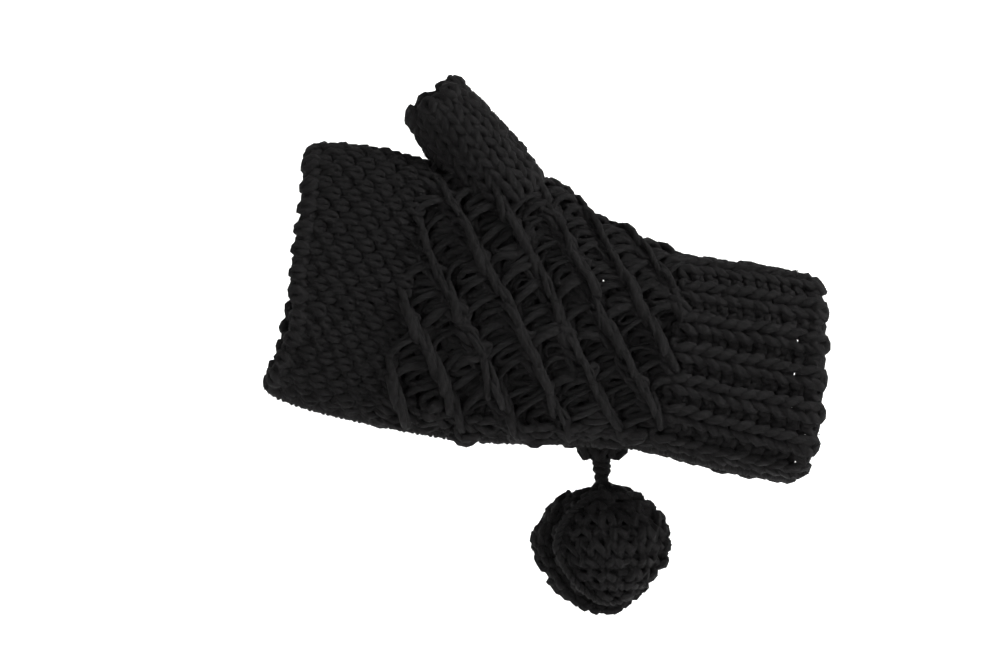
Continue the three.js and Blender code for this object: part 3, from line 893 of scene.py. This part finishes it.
knit_wool = wool("black_knitting_wool")
# The band's wool is a darker copy of the knitting wool: painted shade on the finger band, which lies away
# from the key light.
band_wool_painted_shade = wool("black_band_wool_painted_shade", bright=0.0042)
edge_wool = wool("black_edge_wool", bright=0.0075, fineness=10)
crochet_wool = wool("black_crochet_wool", bright=0.0074, fineness=13)
scrap_wool = wool("black_wool_scraps", bright=0.007, fineness=8)
print("wools:", [finish.name for finish in (knit_wool, band_wool_painted_shade, edge_wool, crochet_wool, scrap_wool)])

# %% [markdown]
# ## What each piece rides on, and what it stands for
# The cap is one round of knitting, so it can't be split where the solid model's two layers
# meet: its pocket and mouth rib ride on no body.

# %% Ride and replace
def settle(piece, material, slot_name, *nodes, body=None):
    """Give a piece its finish, its body and the nodes that it stands for; slot_name is not used."""
    piece.data.materials.append(material)
    if body:
        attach(piece, body)
    if nodes:
        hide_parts(*nodes)


settle(cuff, knit_wool, "rib_knit", "wrist_cuff", body="hand_tube")
settle(cast_on, edge_wool, "edge_yarn", "cuff_cast_on", body="hand_tube")
settle(body, knit_wool, "openwork_knit", "hand_body", body="hand_tube")
settle(carried, knit_wool, "openwork_knit", body="hand_tube")
settle(band, band_wool_painted_shade, "band_knit", "finger_band", body="hand_tube")
settle(cast_off, edge_wool, "edge_yarn", "finger_cast_off", body="hand_tube")
settle(seam, edge_wool, "seam_yarn", "side_seam", body="hand_tube")
settle(hinge_seam, edge_wool, "seam_yarn", "cap_hinge_seam", body="hand_tube")
settle(thumb_off, edge_wool, "edge_yarn", "thumb_cast_off", body="thumb")
settle(gusset, knit_wool, "openwork_knit", "thumb_gusset")
settle(sleeve, knit_wool, "thumb_knit", "thumb_sleeve")
settle(cap_hinge_rows, knit_wool, "cap_knit", "cap_back_layer", body="cap_back")
settle(mouth_rib, knit_wool, "rib_knit", "cap_mouth_rib")
settle(pocket, knit_wool, "cap_knit", "cap_back_layer", "cap_palm_layer")
settle(gathered, knit_wool, "cap_knit", "cap_gathered_end", body="cap_back")
settle(knot, crochet_wool, "crochet_yarn", "cord_knot", body="knot")
settle(cord, crochet_wool, "crochet_yarn", "bobble_cord", body="cord")
settle(collar_yarn, crochet_wool, "crochet_yarn", body="bobble")
settle(rim_disc, crochet_wool, "crochet_yarn", "bobble_rim_disc", body="bobble")
settle(back_cup, crochet_wool, "crochet_yarn", "bobble_back_cup", body="bobble")
settle(front_cup, crochet_wool, "crochet_yarn", "bobble_front_cup", body="bobble")
settle(stuffing, scrap_wool, "stuffing", "bobble_stuffing", body="bobble")

# %% [markdown]
# ## Where the fabric gives
# The thumb bends over a short stretch of its tube, and the pocket's sides stretch between
# the cap's two layers. Splitting them at a line would tear every yarn that crosses it, so the
# thumb's knitting, the mouth rib and the pocket ride on no body, and their placement is baked
# into their meshes.


for piece in (gusset, sleeve):
    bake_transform(piece)
for piece in (mouth_rib, pocket):
    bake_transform(piece)

# %% [markdown]
# ## Studio
# A white floor that runs up all round in one curve, so there is no horizon from any side. It
# glows a little, as a lit backdrop does, and a key light from the arm's side shapes the yarn.

# %% Floor and lights
FLOOR = -0.135
FLAT, CURVE, WALL_TOP = 3.2, 1.2, 3.5
bend = np.linspace(0.1, math.pi / 2, 8)
profile = [(0.02, FLOOR), (FLAT, FLOOR)]
profile += [(FLAT + CURVE * math.sin(a), FLOOR + CURVE * (1 - math.cos(a))) for a in bend]
profile += [(FLAT + CURVE, WALL_TOP)]
BACKDROP_SIDES = 48
compass = [FULL_TURN * k / BACKDROP_SIDES for k in range(BACKDROP_SIDES)]
corners = [(r * math.cos(a), r * math.sin(a), z) for r, z in profile for a in compass]
panels = [tuple(range(BACKDROP_SIDES))]
for ring in range(len(profile) - 1):
    for k in range(BACKDROP_SIDES):
        inner, after = ring * BACKDROP_SIDES, (k + 1) % BACKDROP_SIDES
        outer = inner + BACKDROP_SIDES
        panels.append((inner + k, inner + after, outer + after, outer + k))
backdrop_mesh = bpy.data.meshes.new("white_sweep")
backdrop_mesh.from_pydata(corners, [], panels)
backdrop_mesh.polygons.foreach_set("use_smooth", [True] * len(backdrop_mesh.polygons))
backdrop = bpy.data.objects.new("white_sweep", backdrop_mesh)
bpy.context.collection.objects.link(backdrop)
paper = bpy.data.materials.new("white_paper")
paper.use_nodes = True
sheet = paper.node_tree.nodes["Principled BSDF"].inputs
sheet["Base Color"].default_value = (0.93, 0.93, 0.93, 1)
sheet["Roughness"].default_value = 0.9
sheet["Emission Color"].default_value = (1, 1, 1, 1)
sheet["Emission Strength"].default_value = 0.62
backdrop.data.materials.append(paper)


def soft_light(name, place, target, size, watts):
    data = bpy.data.lights.new(name, "AREA")
    data.shape, data.size, data.size_y, data.energy = "RECTANGLE", size, size, watts
    lamp = bpy.data.objects.new(name, data)
    lamp.location = place
    lamp.visible_camera = False
    lamp.rotation_euler = (Vector(target) - Vector(place)).to_track_quat("-Z", "Y").to_euler()
    bpy.context.collection.objects.link(lamp)


soft_light("key", (0.85, -0.55, 0.85), (-0.08, 0, 0), 0.3, 30)
soft_light("fill", (-1.1, -1.0, 0.5), (-0.1, 0, 0), 0.9, 3)
world = bpy.data.worlds.new("studio")
world.use_nodes = True
sky = world.node_tree.nodes["Background"].inputs
sky["Color"].default_value = (1, 1, 1, 1)
sky["Strength"].default_value = 0.42
bpy.context.scene.world = world
bpy.context.scene.view_settings.view_transform = "Standard"
print("floor at", FLOOR, "and wall", round(FLAT + CURVE, 1), "m away")
